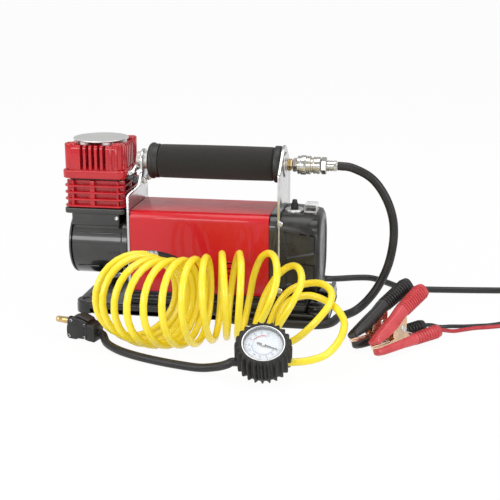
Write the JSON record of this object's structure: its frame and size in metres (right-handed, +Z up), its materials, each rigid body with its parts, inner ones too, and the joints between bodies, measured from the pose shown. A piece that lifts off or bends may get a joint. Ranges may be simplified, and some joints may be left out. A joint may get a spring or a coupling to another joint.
{
  "type": "air compressor",
  "caption": "Portable 12 V piston air compressor on a skid with an air-carrying handle, quick coupler, coiled hose with gauge and tyre chuck, and a power lead with battery clamps.",
  "frame": {"origin": "on the ground under the middle of the compressor, measured without the hoses, the lead and what is on them", "axes": "+X along the motor from the cylinder towards the end cap, -Y towards the side with the hose, +Z up"},
  "size_m": [0.579, 0.3483, 0.1808],
  "materials": {
    "black_metal": "satin black enamel on die cast metal",
    "skid_plastic": "moulded black plastic",
    "foot_rubber": "grey black rubber",
    "red_casting": "gloss red paint on cast fins",
    "red_cover": "gloss red paint on sheet metal",
    "chrome_plate": "bright plated stamping",
    "coupler_chrome": "plated turned steel",
    "steel": "turned and ground steel",
    "iron": "bare cast iron",
    "magnet": "sintered ferrite",
    "copper": "bare copper segments",
    "piston_alloy": "machined alloy",
    "black_plastic": "fine textured black plastic",
    "switch_frame": "pale moulded frame",
    "foam": "closed cell foam",
    "rubber": "black rubber",
    "yellow_hose": "glossy yellow polyurethane",
    "brass": "turned brass",
    "gauge_metal": "plated bezel and case",
    "needle_black": "matt black",
    "red_wire": "red insulation",
    "red_plastic": "soft red grip"
  },
  "bodies": {
    "compressor": {"crankcase": "black_metal", "crankcase_cover": "black_metal", "rear_flange": "black_metal", "skid": "skid_plastic", "foot_front_left": "foot_rubber", "foot_front_right": "foot_rubber", "foot_rear_left": "foot_rubber", "foot_rear_right": "foot_rubber", "cylinder": "red_casting", "cylinder_head": "red_casting", "motor_cover": "red_cover", "left_bracket": "chrome_plate", "right_bracket": "chrome_plate", "head_disc": "chrome_plate", "air_pipe": "chrome_plate", "button_ring": "chrome_plate", "coupler_body": "coupler_chrome", "valve_plate": "steel", "front_bearing": "steel", "rear_bearing": "steel", "handle_tube": "steel", "hose_plug": "steel", "motor_can": "steel", "magnet_front": "magnet", "magnet_rear": "magnet", "end_cap": "black_plastic", "brush_gear": "black_plastic", "chuck_body": "black_plastic", "black_clamp_lower": "black_plastic", "switch_body": "switch_frame", "foam_grip": "foam", "left_grip_ring": "rubber", "right_grip_ring": "rubber", "leader_hose": "rubber", "gauge_guard": "rubber", "chuck_hose": "rubber", "strain_relief": "rubber", "power_lead": "rubber", "lead_coil": "rubber", "wire_black": "rubber", "air_coil": "yellow_hose", "coil_tail": "yellow_hose", "outlet_nipple": "brass", "chuck_stem": "brass", "gauge_case": "gauge_metal", "wire_red": "red_wire", "red_clamp_lower": "red_plastic"},
    "rotor": {"motor_shaft": "steel", "armature": "iron", "commutator": "copper", "cooling_fan": "black_plastic", "crank": "iron"},
    "piston": {"piston_and_rod": "piston_alloy"},
    "rocker": {"switch_rocker": "black_plastic"},
    "button": {"reset_button": "black_plastic"},
    "sleeve": {"coupler_sleeve": "coupler_chrome"},
    "needle": {"gauge_needle": "needle_black"},
    "lever": {"chuck_lever": "black_plastic"},
    "black_clamp_jaw": {"black_clamp_upper": "black_plastic"},
    "red_clamp_jaw": {"red_clamp_upper": "red_plastic"}
  },
  "joints": [
    {"name": "rotor_spin", "type": "hinge", "parent": "compressor", "child": "rotor", "pos_m": [0, 0, 0.0673], "axis": [1, 0, 0], "continuous": true},
    {"name": "piston_slide", "type": "slide", "parent": "compressor", "child": "piston", "axis": [0, 0, 1], "range_m": [-0.018, 0]},
    {"name": "switch_rock", "type": "hinge", "parent": "compressor", "child": "rocker", "pos_m": [0.1185, -0.008, 0.1102], "axis": [1, 0, 0], "range_deg": [0, 22]},
    {"name": "reset_press", "type": "slide", "parent": "compressor", "child": "button", "axis": [0, 0, -1], "range_m": [0, 0.0025], "stiffness_N_per_m": 300},
    {"name": "sleeve_pull", "type": "slide", "parent": "compressor", "child": "sleeve", "axis": [-1, 0, 0], "range_m": [0, 0.0045], "stiffness_N_per_m": 800},
    {"name": "needle_turn", "type": "hinge", "parent": "compressor", "child": "needle", "pos_m": [0.1006, -0.2067, 0.0354], "axis": [0.0904, -0.5518, 0.829], "range_deg": [-270, 0], "stiffness_Nm_per_rad": 0.0002},
    {"name": "chuck_lever_lift", "type": "hinge", "parent": "compressor", "child": "lever", "pos_m": [-0.09706, -0.1247, 0.0242], "axis": [-0.2504, -0.9681, 0], "range_deg": [0, 75]},
    {"name": "black_clamp_squeeze", "type": "hinge", "parent": "compressor", "child": "black_clamp_jaw", "pos_m": [0.19658, -0.08907, 0.01911], "axis": [-0.6256, 0.6345, -0.4539], "range_deg": [0, 18], "stiffness_Nm_per_rad": 0.3, "springref_deg": -11.46},
    {"name": "red_clamp_squeeze", "type": "hinge", "parent": "compressor", "child": "red_clamp_jaw", "pos_m": [0.2162, -0.10336, 0.01914], "axis": [-0.6657, 0.5923, -0.4539], "range_deg": [0, 18], "stiffness_Nm_per_rad": 0.3, "springref_deg": -11.46}
  ]
}
